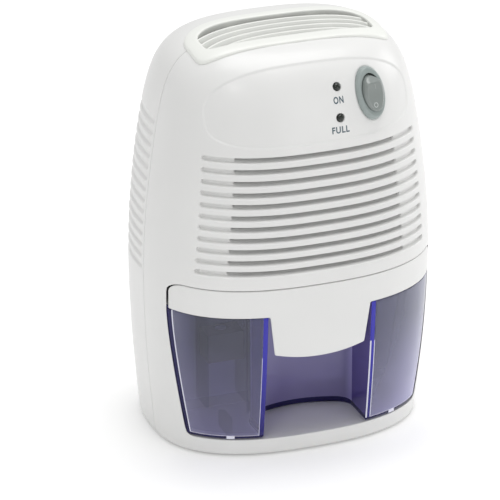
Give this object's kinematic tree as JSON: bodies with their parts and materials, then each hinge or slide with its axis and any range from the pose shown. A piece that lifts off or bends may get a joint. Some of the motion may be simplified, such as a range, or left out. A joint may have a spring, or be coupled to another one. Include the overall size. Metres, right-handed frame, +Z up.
{
  "type": "mini dehumidifier",
  "caption": "Small thermoelectric dehumidifier with a rounded white housing, front louvres, a top outlet grille, a rocker switch and a translucent slide-out water tank.",
  "frame": {"origin": "on the ground under the centre of the housing's bounding box", "axes": "+Z up, the front with the louvres and the tank faces -Y, +X is to the right seen from the front"},
  "size_m": [0.156, 0.1266, 0.2211],
  "materials": {
    "housing_white": "smooth gloss white",
    "grille_ivory": "smooth off-white",
    "tank_violet": "translucent violet",
    "switch_slate": "satin blue-grey",
    "lamp_dark": "clear dark lens",
    "rubber_dark": "matte",
    "plastic_dark": "matte black",
    "steel": "zinc plated",
    "aluminium": "extruded",
    "ceramic": "white ceramic plates",
    "foam": "closed-cell foam",
    "board_green": "solder-masked board",
    "lead_insulation": "insulated lead"
  },
  "bodies": {
    "housing": {"front_housing": "housing_white", "rear_housing": "housing_white", "base_plate": "housing_white", "inner_chassis": "housing_white", "top_grille": "grille_ivory", "switch_bezel": "switch_slate", "led_on": "lamp_dark", "led_full": "lamp_dark", "foot_front_left": "rubber_dark", "foot_front_right": "rubber_dark", "foot_rear_left": "rubber_dark", "foot_rear_right": "rubber_dark", "fan_frame": "plastic_dark", "dc_jack": "plastic_dark", "level_sensor": "plastic_dark", "housing_screw_upper_left": "steel", "housing_screw_upper_right": "steel", "housing_screw_lower_left": "steel", "housing_screw_lower_right": "steel", "base_screw_left": "steel", "base_screw_right": "steel", "clamp_screw_left": "steel", "clamp_screw_right": "steel", "fan_screw_1": "steel", "fan_screw_2": "steel", "fan_screw_3": "steel", "fan_screw_4": "steel", "board_screw_1": "steel", "board_screw_2": "steel", "board_screw_3": "steel", "board_screw_4": "steel", "cold_sink": "aluminium", "hot_sink": "aluminium", "peltier_module": "ceramic", "foam_gasket": "foam", "control_board": "board_green", "indicator_board": "board_green", "power_lead": "lead_insulation", "fan_lead": "lead_insulation", "switch_lead": "lead_insulation"},
    "tank_drawer": {"tank": "tank_violet", "tank_cover": "housing_white", "drain_plug": "rubber_dark"},
    "float": {"tank_float": "plastic_dark", "float_magnet": "steel"},
    "rotor": {"fan_rotor": "plastic_dark"},
    "rocker": {"power_rocker": "switch_slate"}
  },
  "joints": [
    {"name": "tank_slide", "type": "slide", "parent": "housing", "child": "tank_drawer", "axis": [0, -1, 0], "range_m": [0, 0.075]},
    {"name": "float_rise", "type": "slide", "parent": "tank_drawer", "child": "float", "axis": [0, 0, 1], "range_m": [0, 0.01]},
    {"name": "fan_spin", "type": "hinge", "parent": "housing", "child": "rotor", "pos_m": [0, 0.022, 0.145], "axis": [0, 1, 0], "continuous": true},
    {"name": "switch_rock", "type": "hinge", "parent": "housing", "child": "rocker", "pos_m": [0.03042, -0.04824, 0.1947], "axis": [-0.9659, -0.2588, 0], "range_deg": [0, 18]}
  ]
}
